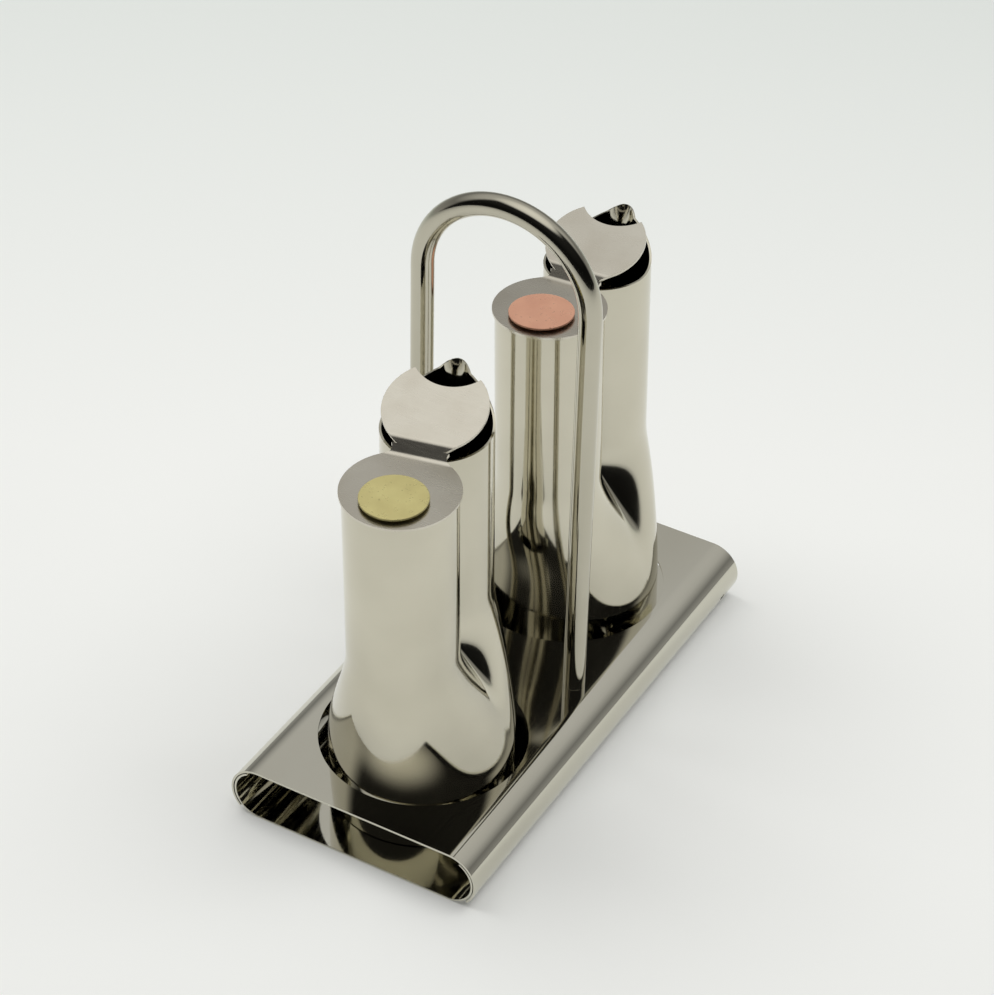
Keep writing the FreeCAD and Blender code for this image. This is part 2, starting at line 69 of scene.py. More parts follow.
# Cruet form
TUBE_RADIUS = 19.5 * MM
TUBE_SPACING = 36.8 * MM
CREASE_RADIUS = 1.6 * MM
CREASE_GROWTH = 100.0
FOOT_SPLIT = 0.01
FOOT_RADIUS = 33.5 * MM
BODY_HEIGHT = 146.4 * MM
ROUND_HEIGHT = 15.0 * MM
TUBES_HEIGHT = 80.0 * MM
SPOUT_RISE = 12.4 * MM
SPOUT_SWEEP = 4.0 * MM
SPOUT_SHARPNESS = 0.98
BEAK_ROOT_RADIUS = 4.4 * MM
BEAK_RADIUS = 6.0 * MM
BEAK_REACH = 4.0 * MM
BEAK_DROP = 9.0 * MM
BEAK_OVERRUN = 2.0 * MM
BEAK_CURL = 3.2              # power by which the lip curls out towards its tip
BEAK_TIP_SHARE = 0.914       # share of the way up at which it has its full reach
BEAK_SKIRT = 1.25            # how far to the sides it shapes the wall, in its own radii
BEAK_FLANK = 3.0             # slope of its flanks
BEAK_FILLET = 2.2 * MM

# How the loose cruets stand: middle of the foot, spout's angle from +X, lean towards +X and +Y
CRUET_FOOT = 1.15 * MM
CRUET_STANDS = {
    "oil": (1.6 * MM, -54.4 * MM, 102.0, 0.0, -1.6),
    "vinegar": (1.2 * MM, 54.2 * MM, 91.5, -2.2, 1.4),
}

# Softened edges
SHEET_EDGE = 0.16 * MM
RIM_EDGE = 0.22 * MM
SCREW_EDGE = 0.12 * MM
PLATE_EDGE = 0.15 * MM
LID_EDGE = 0.2 * MM
DISC_EDGE = 0.1 * MM
EDGE_SEGMENTS = 3
FLAT_FACE_WEIGHT = 80
# Points closer than this and faces flatter than this are merged in the pieces kept from the frame
MERGE_DISTANCE = 0.002 * MM
MERGE_ANGLE = math.radians(0.3)

# How finely the curved pieces are divided
SIDE_STEPS = 56              # rolled side of a sheet
HOLE_SEGMENTS = 192
SLOT_END_STEPS = 12
BUMP_SEGMENTS = 24
BUMP_RINGS = 16
TUBE_POINTS = 220            # along the handle
TUBE_SIDES = 72
SPOUT_COLUMNS = 190
SPOUT_CROWDING = 0.58        # how much closer together the columns are at the spout
THUMB_COLUMNS = 84
DIP_COLUMNS = 14
BLEND_ROWS = 46              # from round foot to two tubes
RIM_ROWS = 22
PLAIN_ROWS = (15 * MM, 30 * MM)
GIRTH_TRIES = 50

# Camera, fitted to the photograph's straight edges and ellipses in an image of 994 by 995 pixels
IMAGE_WIDTH = 994
FOCAL_PIXELS = 3103.0
CAMERA_AZIMUTH = math.radians(29.20)
CAMERA_ELEVATION = math.radians(37.61)
CAMERA_ROLL = math.radians(1.45)
CAMERA_DISTANCE = 1.098
CAMERA_TARGET = Vector((-0.00128, 0.0, 0.0929))
CAMERA_SENSOR = 36.0         # mm
CAMERA_REACH = 50            # metres
CAMERA_SIDE = (math.sin(CAMERA_AZIMUTH), -math.cos(CAMERA_AZIMUTH), 0)

# Room round the set: level of light at the sine of the height above the horizon
ROOM_BANDS = ((0.0, 0.36), (0.3, 0.22), (0.62, 0.535), (0.8, 0.62), (0.93, 0.98), (1.0, 1.15))
# Dark low part of the room on the camera's side, by the cosine towards it and by the height
ROOM_DARK_SIDE = (-0.22, 0.08)
ROOM_DARK_HEIGHT = (0.92, 0.78)
ROOM_DARKNESS = 0.97
ROOM_TINT = (1.0, 0.995, 0.975)

# Floor colour near the set and far behind it, where it is painted darker and cooler as painted shade, and
# the distances between which the painted shade comes in
FLOOR_NEAR = (0.86, 0.868, 0.845)
FLOOR_FAR_PAINTED_SHADE = (0.72, 0.765, 0.73)
FLOOR_PAINTED_SHADE_FADE = (0.15, 0.75)
# Share of the floor that shows its plain colour, which keeps its shadows soft
FLOOR_EVENNESS = 0.15
FLOOR_ROUGHNESS = 0.6
FLOOR_HALF_SIZE = 6.0

# Softboxes aimed at the set, in metres and watts
LAMP_PLACES = {"left softbox": (-0.80, -0.05, 1.50), "right softbox": (0.70, 0.30, 1.55)}
LAMP_SIZE = 1.0
LAMP_POWER = 10.6


# Plain helpers

def link(obj):
    bpy.context.scene.collection.objects.link(obj)
    return obj


def object_from(name, bm, material=None):
    mesh = bpy.data.meshes.new(name)
    bm.to_mesh(mesh)
    bm.free()
    if material:
        mesh.materials.append(material)
    return link(bpy.data.objects.new(name, mesh))


def set_smooth(obj):
    for face in obj.data.polygons:
        face.use_smooth = True


def settle(obj):
    """Turn live modifiers into the object's own mesh."""
    graph = bpy.context.evaluated_depsgraph_get()
    mesh = bpy.data.meshes.new_from_object(obj.evaluated_get(graph), preserve_all_data_layers=True,
                                           depsgraph=graph)
    obj.modifiers.clear()
    obj.data = mesh


def soften(obj, width, angle=40):
    """Round the sharp edges and keep flat faces flat in the shading."""
    set_smooth(obj)
    bevel = obj.modifiers.new("edge", "BEVEL")
    bevel.width = width
    bevel.segments = EDGE_SEGMENTS
    bevel.limit_method = "ANGLE"
    bevel.angle_limit = math.radians(angle)
    weighted = obj.modifiers.new("flat faces", "WEIGHTED_NORMAL")
    weighted.weight = FLAT_FACE_WEIGHT
    weighted.keep_sharp = True
    settle(obj)


def cut_away(obj, cutter):
    boolean = obj.modifiers.new("cut", "BOOLEAN")
    boolean.operation = "DIFFERENCE"
    boolean.solver = "EXACT"
    boolean.object = cutter
    settle(obj)
    bpy.data.objects.remove(cutter)


def maths_in(tree):
    """A function that adds one sum to a node tree. Its terms are numbers or outputs."""
    def maths(operation, first, second=None):
        node = tree.nodes.new("ShaderNodeMath")
        node.operation = operation
        for socket, value in zip(node.inputs, (first, second)):
            if isinstance(value, (int, float)):
                socket.default_value = value
            elif value is not None:
                tree.links.new(value, socket)
        return node.outputs[0]
    return maths


# Finishes

class Finish:
    """A metal finish built node by node."""

    def __init__(self, name, colour, roughness):
        self.material = bpy.data.materials.new(name)
        self.material.use_nodes = True
        self.nodes = self.material.node_tree.nodes
        self.links = self.material.node_tree.links
        self.shader = self.nodes["Principled BSDF"]
        self.shader.inputs["Metallic"].default_value = 1.0
        self.shader.inputs["Roughness"].default_value = roughness
        self.shader.inputs["Base Color"].default_value = (*colour, 1)
        self.place = self.nodes.new("ShaderNodeTexCoord").outputs["Object"]
        self.height = None

    def pattern(self, scale, stretch=(1, 1, 1), turn=0.0, detail=3.0):
        """Noise on the object's own coordinates, stretched for a grain."""
        mapping = self.nodes.new("ShaderNodeMapping")
        mapping.inputs["Scale"].default_value = stretch
        mapping.inputs["Rotation"].default_value = (0, 0, turn)
        noise = self.nodes.new("ShaderNodeTexNoise")
        noise.inputs["Scale"].default_value = scale
        noise.inputs["Detail"].default_value = detail
        self.links.new(self.place, mapping.inputs["Vector"])
        self.links.new(mapping.outputs["Vector"], noise.inputs["Vector"])
        return noise.outputs["Fac"]

    def spread(self, value, low, high, start=0.3, end=0.7):
        """Map a pattern onto a range."""
        node = self.nodes.new("ShaderNodeMapRange")
        node.inputs["From Min"].default_value = start
        node.inputs["From Max"].default_value = end
        node.inputs["To Min"].default_value = low
        node.inputs["To Max"].default_value = high
        self.links.new(value, node.inputs["Value"])
        return node.outputs["Result"]

    def mix_colour(self, factor, first, second):
        """Mix two colours. The first may also be the output of another mix."""
        node = self.nodes.new("ShaderNodeMix")
        node.data_type = "RGBA"
        self.links.new(factor, node.inputs["Factor"])
        for socket, value in ((node.inputs["A"], first), (node.inputs["B"], second)):
            if isinstance(value, tuple):
                socket.default_value = (*value, 1)
            else:
                self.links.new(value, socket)
        return node.outputs["Result"]

    def colour(self, value):
        self.links.new(value, self.shader.inputs["Base Color"])

    def roughness(self, value):
        self.links.new(value, self.shader.inputs["Roughness"])

    def add_bump(self, value, depth, strength=1.0):
        """Raise the surface by a pattern. Depth is a real height in metres."""
        bump = self.nodes.new("ShaderNodeBump")
        bump.inputs["Strength"].default_value = strength
        bump.inputs["Distance"].default_value = depth
        self.links.new(value, bump.inputs["Height"])
        if self.height is not None:
            self.links.new(self.height, bump.inputs["Normal"])
        self.height = bump.outputs["Normal"]
        self.links.new(self.height, self.shader.inputs["Normal"])


def polished_steel(name="polished_steel", level=1.0):
    """Mirror-polished stainless, a little uneven from the pressing, with faint wipe marks."""
    # A level below 1 darkens the whole finish: painted shade on a copy of the same steel.
    clean = tuple(c * level for c in (0.64, 0.61, 0.505))
    wiped = tuple(c * level for c in (0.57, 0.54, 0.44))
    finish = Finish(name, clean, 0.07)
    smudge = finish.pattern(22, detail=4)
    finish.colour(finish.mix_colour(finish.spread(smudge, 0, 1), clean, wiped))
    finish.roughness(finish.spread(finish.pattern(60, (1, 1, 0.35), detail=5), 0.045, 0.13))
    finish.add_bump(finish.pattern(26, (1, 1, 0.6), detail=1), 0.05 * MM, 0.35)
    finish.add_bump(finish.pattern(900, (1, 1, 0.08), detail=2), 0.002 * MM, 0.3)
    return finish.material


def rolled_steel():
    """Sheet of the holder and tray, polished, with a trace of its rolling along its length."""
    finish = Finish("rolled_sheet_steel", (0.60, 0.58, 0.49), 0.06)
    grain = finish.pattern(1500, (1, 0.012, 1), detail=3)
    smudge = finish.pattern(18, (1, 0.4, 1), detail=4)
    finish.colour(finish.mix_colour(finish.spread(smudge, 0, 1), (0.67, 0.655, 0.57), (0.60, 0.58, 0.49)))
    finish.roughness(finish.spread(grain, 0.04, 0.1))
    finish.add_bump(grain, 0.0012 * MM, 0.25)
    finish.add_bump(finish.pattern(14, (1, 0.25, 1), detail=1), 0.03 * MM, 0.25)
    return finish.material


def satin_steel():
    """Lid plates, brushed across to a soft satin."""
    finish = Finish("satin_lid_steel", (0.66, 0.63, 0.54), 0.26)
    grain = finish.pattern(1400, (0.02, 1, 1), turn=math.radians(30), detail=3)
    smudge = finish.pattern(55, detail=5)
    finish.colour(finish.mix_colour(finish.spread(smudge, 0, 1), (0.70, 0.67, 0.585), (0.61, 0.57, 0.485)))
    finish.roughness(finish.spread(grain, 0.24, 0.28))
    finish.add_bump(grain, 0.001 * MM, 0.12)
    return finish.material


def thumb_metal(name, light, dark, spot):
    """Brass or copper disc, handled, with small dark spots of tarnish."""
    finish = Finish(name, light, 0.3)
    finish.shader.inputs["Metallic"].default_value = 0.5
    cloud = finish.spread(finish.pattern(140, detail=6), 0, 1)
    base = finish.mix_colour(cloud, light, dark)
    specks = finish.spread(finish.pattern(620, detail=2), 0, 1, 0.7, 0.8)
    finish.colour(finish.mix_colour(specks, base, spot))
    finish.roughness(finish.spread(finish.pattern(320, detail=5), 0.24, 0.42))
    finish.add_bump(finish.pattern(1800, detail=3), 0.006 * MM, 0.4)
    return finish.material


def screw_steel():
    finish = Finish("screw_steel", (0.55, 0.55, 0.54), 0.3)
    finish.roughness(finish.spread(finish.pattern(700, detail=3), 0.22, 0.38))
    finish.add_bump(finish.pattern(900, (1, 1, 0.1), detail=2), 0.004 * MM, 0.4)
    return finish.material


# Holder and tray

def rolled_sheet(name, radius, start, end, flat_z, inner_flat_z, rows, material):
    """Flat sheet with two rolled sides. start and end are angles of the right side's arc."""
    outer = []
    inner = []
    arc_x = HOLDER_HALF_WIDTH - SIDE_RADIUS
    for i in range(SIDE_STEPS + 1):
        a = start + (end - start) * i / SIDE_STEPS
        for side, r in ((outer, radius), (inner, radius - SHEET)):
            side.append((arc_x + r * math.cos(a), ARC_HEIGHT + r * math.sin(a)))
    for side, flat in ((outer, flat_z), (inner, inner_flat_z)):
        x, z = side[-1]
        if abs(z - flat) > SHEET_EDGE:
            side.append((x + (z - flat) * math.tan(end), flat))
        else:
            side[-1] = (arc_x, flat)
    outer += [(-x, z) for x, z in reversed(outer)]
    inner += [(-x, z) for x, z in reversed(inner)]
    bm = bmesh.new()
    rings = []
    for y in rows:
        rings.append([[bm.verts.new((x, y, z)) for x, z in side] for side in (outer, inner)])
    last = len(outer) - 1
    for (o0, i0), (o1, i1) in zip(rings, rings[1:]):
        for k in range(last):
            bm.faces.new((o0[k], o0[k + 1], o1[k + 1], o1[k]))
            bm.faces.new((i0[k], i1[k], i1[k + 1], i0[k + 1]))
        for k in (0, last):
            bm.faces.new((o0[k], o1[k], i1[k], i0[k]))
    for o, i in (rings[0], rings[-1]):
        for k in range(last):
            bm.faces.new((o[k], i[k], i[k + 1], o[k + 1]))
    bmesh.ops.recalc_face_normals(bm, faces=bm.faces)
    return object_from(name, bm, material)


def add_cylinder(bm, centre, radius, depth, axis, segments):
    rotation = Vector((0, 0, 1)).rotation_difference(axis).to_matrix().to_4x4()
    bmesh.ops.create_cone(bm, cap_ends=True, segments=segments, radius1=radius, radius2=radius,
                          depth=depth, matrix=Matrix.Translation(centre) @ rotation)


def catch_place(side):
    """Middle of the rolled side at a catch, and the direction in which the catch faces."""
    outward = Vector((side * math.cos(CATCH_ANGLE), 0, math.sin(CATCH_ANGLE)))
    centre = Vector((side * (HOLDER_HALF_WIDTH - SIDE_RADIUS),
                     HOLDER_HALF_LENGTH - CATCH_FROM_END, ARC_HEIGHT))
    return centre, outward


def capsule_cutter(centre, outward):
    """Slot-shaped cutter along the holder's side."""
    bm = bmesh.new()
    along = Vector((0, 1, 0))
    across = outward.cross(along)
    half_run = (CATCH_SLOT_LENGTH - CATCH_SLOT_HEIGHT) / 2
    loop = []
    for end in (1, -1):
        for i in range(SLOT_END_STEPS + 1):
            a = math.pi * i / SLOT_END_STEPS
            loop.append(along * end * (half_run + CATCH_SLOT_HEIGHT / 2 * math.sin(a))
                        + across * end * (CATCH_SLOT_HEIGHT / 2 * math.cos(a)))
    near = [bm.verts.new(centre + outward * (SIDE_RADIUS - 2 * SHEET) + p) for p in loop]
    far = [bm.verts.new(centre + outward * (SIDE_RADIUS + SHEET) + p) for p in loop]
    bm.faces.new(near)
    bm.faces.new(far)
    for k in range(len(loop)):
        m = (k + 1) % len(loop)
        bm.faces.new((near[k], near[m], far[m], far[k]))
    bmesh.ops.recalc_face_normals(bm, faces=bm.faces)
    return object_from("cutter", bm)


def sheet_rows():
    """Rows across the sheet, closer together round the catch."""
    catch = HOLDER_HALF_LENGTH - CATCH_FROM_END
    margin = CATCH_SLOT_LENGTH
    rows = [HOLDER_HALF_LENGTH * share for share in (-1, -0.5, 0, 0.5)]
    return rows + [catch - margin, catch + margin, HOLDER_HALF_LENGTH]


def build_shell(material):
    shell = rolled_sheet("holder_sheet", SIDE_RADIUS, -SHELL_WRAP, math.pi / 2, DECK_TOP, DECK_TOP - SHEET,
                         sheet_rows(), material)
    bm = bmesh.new()
    for y in (-HOLE_OFFSET, HOLE_OFFSET):
        add_cylinder(bm, Vector((0, y, DECK_TOP)), HOLE_RADIUS, 6 * SHEET, Vector((0, 0, 1)), HOLE_SEGMENTS)
    cut_away(shell, object_from("hole cutter", bm))
    for side in (-1, 1):
        cut_away(shell, capsule_cutter(*catch_place(side)))
    soften(shell, SHEET_EDGE)
    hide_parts("holder_shell")
    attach(shell, "holder")


def build_tray(material):
    radius = ARC_HEIGHT
    tray = rolled_sheet("drip_tray_sheet", radius, TRAY_WRAP, TRAY_FOLD - math.pi / 2, 0.0, SHEET,
                        sheet_rows(), material)
    bm = bmesh.new()
    bm.from_mesh(tray.data)
    for side in (-1, 1):
        centre, outward = catch_place(side)
        middle = centre + outward * (radius + CATCH_BUMP_RISE - CATCH_BUMP_RADIUS)
        bmesh.ops.create_uvsphere(bm, u_segments=BUMP_SEGMENTS, v_segments=BUMP_RINGS,
                                  radius=CATCH_BUMP_RADIUS, matrix=Matrix.Translation(middle))
    bm.to_mesh(tray.data)
    bm.free()
    soften(tray, SHEET_EDGE)
    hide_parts("drip_tray")
    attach(tray, "drawer")


# Handle, a node tree that runs a round tube along legs and arch

def tube_tree():
    """Tube from its foot up one leg, over a half circle of the given half span, and down again."""
    tree = bpy.data.node_groups.new("bent_tube", "GeometryNodeTree")
    ins = {}
    for name in ("Half Span", "Foot", "Spring", "Tube Radius", "Finish"):
        kind = "NodeSocketMaterial" if name == "Finish" else "NodeSocketFloat"
        ins[name] = tree.interface.new_socket(name, in_out="INPUT", socket_type=kind).identifier
    tree.interface.new_socket("Geometry", in_out="OUTPUT", socket_type="NodeSocketGeometry")
    nodes = tree.nodes
    links = tree.links
    source = nodes.new("NodeGroupInput")
    sink = nodes.new("NodeGroupOutput")
    maths = maths_in(tree)

    half = source.outputs["Half Span"]
    foot = source.outputs["Foot"]
    spring = source.outputs["Spring"]
    minus = maths("MULTIPLY", half, -1.0)
    index = nodes.new("GeometryNodeInputIndex").outputs[0]
    line = nodes.new("GeometryNodeCurvePrimitiveLine")
    resample = nodes.new("GeometryNodeResampleCurve")
    resample.inputs["Count"].default_value = TUBE_POINTS
    links.new(line.outputs[0], resample.inputs["Curve"])
    # Length along the path: leg, half circle, leg
    leg = maths("SUBTRACT", spring, foot)
    arch = maths("MULTIPLY", half, math.pi)
    total = maths("ADD", maths("MULTIPLY", leg, 2.0), arch)
    run = maths("MULTIPLY", total, maths("DIVIDE", index, float(TUBE_POINTS - 1)))
    up = maths("MINIMUM", run, leg)
    past_leg = maths("DIVIDE", maths("SUBTRACT", run, leg), half)
    turn = maths("MINIMUM", maths("MAXIMUM", past_leg, 0.0), math.pi)
    down = maths("MAXIMUM", maths("SUBTRACT", run, maths("ADD", leg, arch)), 0.0)
    x = maths("MULTIPLY", minus, maths("COSINE", turn))
    z = maths("ADD", maths("SUBTRACT", maths("ADD", foot, up), down),
              maths("MULTIPLY", half, maths("SINE", turn)))
    point = nodes.new("ShaderNodeCombineXYZ")
    links.new(x, point.inputs["X"])
    links.new(z, point.inputs["Z"])
    move = nodes.new("GeometryNodeSetPosition")
    links.new(resample.outputs[0], move.inputs["Geometry"])
    links.new(point.outputs[0], move.inputs["Position"])
    ring = nodes.new("GeometryNodeCurvePrimitiveCircle")
    ring.inputs["Resolution"].default_value = TUBE_SIDES
    links.new(source.outputs["Tube Radius"], ring.inputs["Radius"])
    tube = nodes.new("GeometryNodeCurveToMesh")
    tube.inputs["Fill Caps"].default_value = True
    links.new(move.outputs[0], tube.inputs["Curve"])
    links.new(ring.outputs[0], tube.inputs["Profile Curve"])
    realize = nodes.new("GeometryNodeRealizeInstances")
    paint = nodes.new("GeometryNodeSetMaterial")
    links.new(tube.outputs[0], realize.inputs[0])
    links.new(realize.outputs[0], paint.inputs["Geometry"])
    links.new(source.outputs["Finish"], paint.inputs["Material"])
    links.new(paint.outputs[0], sink.inputs[0])
    return tree, ins


def build_handle(material):
    low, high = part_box("handle")
    half_span = high[0] - HANDLE_TUBE_RADIUS
    tree, ins = tube_tree()
    handle = link(bpy.data.objects.new("handle_tube", bpy.data.meshes.new("handle_tube")))
    bend = handle.modifiers.new("bend", "NODES")
    bend.node_group = tree
    bend[ins["Half Span"]] = half_span
    bend[ins["Foot"]] = low[2]
    bend[ins["Spring"]] = high[2] - HANDLE_TUBE_RADIUS - half_span
    bend[ins["Tube Radius"]] = HANDLE_TUBE_RADIUS
    bend[ins["Finish"]] = material
    settle(handle)
    bm = bmesh.new()
    bm.from_mesh(handle.data)
    bmesh.ops.recalc_face_normals(bm, faces=bm.faces)
    bm.to_mesh(handle.data)
    bm.free()
    soften(handle, SHEET_EDGE, angle=60)
    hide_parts("handle")
    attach(handle, "holder")


# Cruet

def blend(height):
    """0 where the body is round and 1 where it is two tubes, with a smooth change between."""
    t = min(max((height - ROUND_HEIGHT) / (TUBES_HEIGHT - ROUND_HEIGHT), 0.0), 1.0)
    return t * t * t * (t * (6 * t - 15) + 10)


def girth_of(spacing, crease, radius):
    """Length round two lobes joined by hollow creases."""
    reach = math.acos(min(1.0, spacing / 2 / (radius + crease)))
    return 4 * (math.pi - reach) * radius + 2 * crease * (math.pi - 2 * reach)


def lobe_radius(spacing, crease, girth):
    """Radius of the lobes that gives this girth."""
    low = girth / (4 * math.pi)
    high = girth / (2 * math.pi)
    for _ in range(GIRTH_TRIES):
        middle = (low + high) / 2
        if girth_of(spacing, crease, middle) > girth:
            high = middle
        else:
            low = middle
    return (low + high) / 2


def outline(height, columns):
    """Points round the body at a height: spout lobe, dip, thumb lobe, dip."""
    share = blend(height)
    tubes_girth = girth_of(TUBE_SPACING, CREASE_RADIUS, TUBE_RADIUS)
    girth = 2 * math.pi * FOOT_RADIUS * (1 - share) + tubes_girth * share
    if share == 0:
        half = 0.0
        radius = FOOT_RADIUS
        end = math.pi / 2 - FOOT_SPLIT
        dip = (0.0, FOOT_RADIUS, end, math.pi - end)
    else:
        half = TUBE_SPACING * share / 2
        crease = CREASE_RADIUS * CREASE_GROWTH ** (1 - share)
        radius = lobe_radius(2 * half, crease, girth)
        reach = math.acos(half / (radius + crease))
        end = math.pi - reach
        dip = (math.sqrt((radius + crease) ** 2 - half ** 2), crease, -reach, reach - math.pi)
    points = []
    for s in columns["spout"]:
        points.append((half + radius * math.cos(end * s), radius * math.sin(end * s)))
    for s in columns["dip"]:
        a = dip[2] + (dip[3] - dip[2]) * s
        points.append((dip[1] * math.cos(a), dip[0] + dip[1] * math.sin(a)))
    for s in columns["thumb"]:
        a = math.pi + end * s
        points.append((-half + radius * math.cos(a), radius * math.sin(a)))
    for s in columns["dip"]:
        a = dip[3] + (dip[2] - dip[3]) * s
        points.append((dip[1] * math.cos(a), -dip[0] - dip[1] * math.sin(a)))
    return points


def body_columns():
    """Shares along each arc, without its last point, closer together at the spout."""
    even = [-1 + 2 * i / SPOUT_COLUMNS for i in range(SPOUT_COLUMNS)]
    return {
        "spout": [(1 - SPOUT_CROWDING) * s + SPOUT_CROWDING * s ** 3 for s in even],
        "dip": [i / DIP_COLUMNS for i in range(DIP_COLUMNS)],
        "thumb": [-1 + 2 * i / THUMB_COLUMNS for i in range(THUMB_COLUMNS)],
    }


def rim_height(u):
    """Level over the thumb side, swept up towards the spout."""
    start = TUBE_SPACING / 2 - SPOUT_SWEEP
    end = TUBE_SPACING / 2 + TUBE_RADIUS
    if u <= start:
        return BODY_HEIGHT
    drop = 1 - math.sqrt(1 - SPOUT_SHARPNESS ** 2)
    x = min((u - start) / (end - start), 1.0) * SPOUT_SHARPNESS
    return BODY_HEIGHT + SPOUT_RISE / drop * (1 - math.sqrt(1 - x * x))


def smooth_max(a, b, width):
    """The larger value, rounded over where the two are within width of each other."""
    mix = max(width - abs(a - b), 0.0) / width
    return max(a, b) + mix * mix * width / 4


def beak(u, v, height):
    """Push the wall out into the pouring beak."""
    edge = TUBE_SPACING / 2 + TUBE_RADIUS
    low = BODY_HEIGHT - BEAK_DROP
    share = (height - low) / (BEAK_DROP + SPOUT_RISE + BEAK_OVERRUN)
    if share <= 0 or u < TUBE_SPACING / 2:
        return u
    radius = BEAK_ROOT_RADIUS + (BEAK_RADIUS - BEAK_ROOT_RADIUS) * share
    root = edge - BEAK_ROOT_RADIUS - BODY_WALL / 2
    reach = (edge - BEAK_RADIUS + BEAK_REACH - root) * BEAK_TIP_SHARE
    centre = root + reach * (share / BEAK_TIP_SHARE) ** BEAK_CURL
    if abs(v) >= radius * BEAK_SKIRT:
        return u
    inside = radius * radius - v * v
    nose = centre + math.sqrt(inside) if inside > 0 else centre - BEAK_FLANK * (abs(v) - radius)
    return smooth_max(u, nose, BEAK_FILLET)


def body_levels():
    """Heights in metres up to the plain tubes, then shares of the way on to the rim."""
    first = ROUND_HEIGHT * 0.9
    lower = [0.0, ROUND_HEIGHT * 0.5]
    lower += [first + (TUBES_HEIGHT - first) * i / BLEND_ROWS for i in range(BLEND_ROWS + 1)]
    lower += [TUBES_HEIGHT + step for step in PLAIN_ROWS]
    return lower, [i / RIM_ROWS for i in range(1, RIM_ROWS + 1)]


def build_body(cruet, material):
    place = cruet_place(cruet)
    columns = body_columns()
    lower, upper = body_levels()
    tubes = outline(TUBES_HEIGHT, columns)
    base = lower[-1]
    bm = bmesh.new()
    rows = []
    for height in lower:
        rows.append([bm.verts.new(place @ Vector((u, v, height))) for u, v in outline(height, columns)])
    for share in upper:
        row = []
        for u, v in tubes:
            height = base + (rim_height(u) - base) * share
            row.append(bm.verts.new(place @ Vector((beak(u, v, height), v, height))))
        rows.append(row)
    count = len(tubes)
    for low, high in zip(rows, rows[1:]):
        for k in range(count):
            m = (k + 1) % count
            bm.faces.new((low[k], low[m], high[m], high[k]))
    body = object_from(cruet + "_body_shell", bm, material)
    set_smooth(body)
    wall = body.modifiers.new("wall", "SOLIDIFY")
    wall.thickness = BODY_WALL
    wall.offset = -1
    wall.use_even_offset = True
    settle(body)
    soften(body, RIM_EDGE, angle=50)
    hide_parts(cruet + "_body")
    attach(body, cruet + "_cruet")


def cruet_place(cruet):
    """Matrix from the cruet's own frame, spout towards +X, to its place in the holder."""
    x, y, turn, lean_x, lean_y = CRUET_STANDS[cruet]
    level = Vector((0, 0, 1))
    upright = Vector((math.tan(math.radians(lean_x)), math.tan(math.radians(lean_y)), 1)).normalized()
    lean = level.angle(upright)
    foot = Vector((x, y, CRUET_FOOT + FOOT_RADIUS * math.sin(lean)))
    tip = Matrix.Rotation(lean, 4, level.cross(upright)) if lean > 0 else Matrix.Identity(4)
    return Matrix.Translation(foot) @ tip @ Matrix.Rotation(math.radians(turn), 4, "Z")


def finished_copy(node, name, material, body, edge):
    """A copy of a flat or turned piece with merged faces and rounded edges."""
    bm = bmesh.new()
    bm.from_mesh(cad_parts[node].data)
    bmesh.ops.remove_doubles(bm, verts=bm.verts, dist=MERGE_DISTANCE)
    bmesh.ops.dissolve_limit(bm, angle_limit=MERGE_ANGLE, verts=bm.verts, edges=bm.edges)
    piece = object_from(name, bm, material)
    soften(piece, edge, angle=35)
    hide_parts(node)
    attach(piece, body)


def repaint(node, material):
    """Give a piece that keeps its own mesh a better finish."""
    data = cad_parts[node].data
    data.materials.clear()
    data.materials.append(material)


# Studio

def build_studio():
    bm = bmesh.new()
    bmesh.ops.create_grid(bm, x_segments=2, y_segments=2, size=FLOOR_HALF_SIZE)
    floor = object_from("floor", bm, pale_floor())
    build_room()
    for name, place in LAMP_PLACES.items():
        add_lamp(name, place)


def pale_floor():
    """Pale floor, painted a little darker and cooler far behind the set as painted shade, with part of its
    colour unshaded.
    """
    material = bpy.data.materials.new("pale_floor")
    material.use_nodes = True
    nodes = material.node_tree.nodes
    links = material.node_tree.links
    maths = maths_in(material.node_tree)
    shader = nodes["Principled BSDF"]
    shader.inputs["Roughness"].default_value = FLOOR_ROUGHNESS
    # Painted shade: the floor colour darkens and cools with distance behind the set.
    far = nodes.new("ShaderNodeVectorMath")
    far.operation = "DOT_PRODUCT"
    links.new(nodes.new("ShaderNodeTexCoord").outputs["Object"], far.inputs[0])
    far.inputs[1].default_value = [-c for c in CAMERA_SIDE]
    share = nodes.new("ShaderNodeMapRange")
    share.inputs["From Min"].default_value = FLOOR_PAINTED_SHADE_FADE[0]
    share.inputs["From Max"].default_value = FLOOR_PAINTED_SHADE_FADE[1]
    links.new(far.outputs["Value"], share.inputs["Value"])
    mix = nodes.new("ShaderNodeMix")
    mix.data_type = "RGBA"
    mix.inputs["A"].default_value = (*FLOOR_NEAR, 1)
    mix.inputs["B"].default_value = (*FLOOR_FAR_PAINTED_SHADE, 1)
    links.new(share.outputs["Result"], mix.inputs["Factor"])
    links.new(mix.outputs["Result"], shader.inputs["Base Color"])
    ray = nodes.new("ShaderNodeLightPath")
    seen = maths("MAXIMUM", ray.outputs["Is Camera Ray"], ray.outputs["Is Glossy Ray"])
    unshaded = maths("MULTIPLY", seen, FLOOR_EVENNESS)
    plain = nodes.new("ShaderNodeEmission")
    links.new(mix.outputs["Result"], plain.inputs["Color"])
    both = nodes.new("ShaderNodeMixShader")
    links.new(unshaded, both.inputs[0])
    links.new(shader.outputs[0], both.inputs[1])
    links.new(plain.outputs[0], both.inputs[2])
    links.new(both.outputs[0], nodes["Material Output"].inputs["Surface"])
    return material


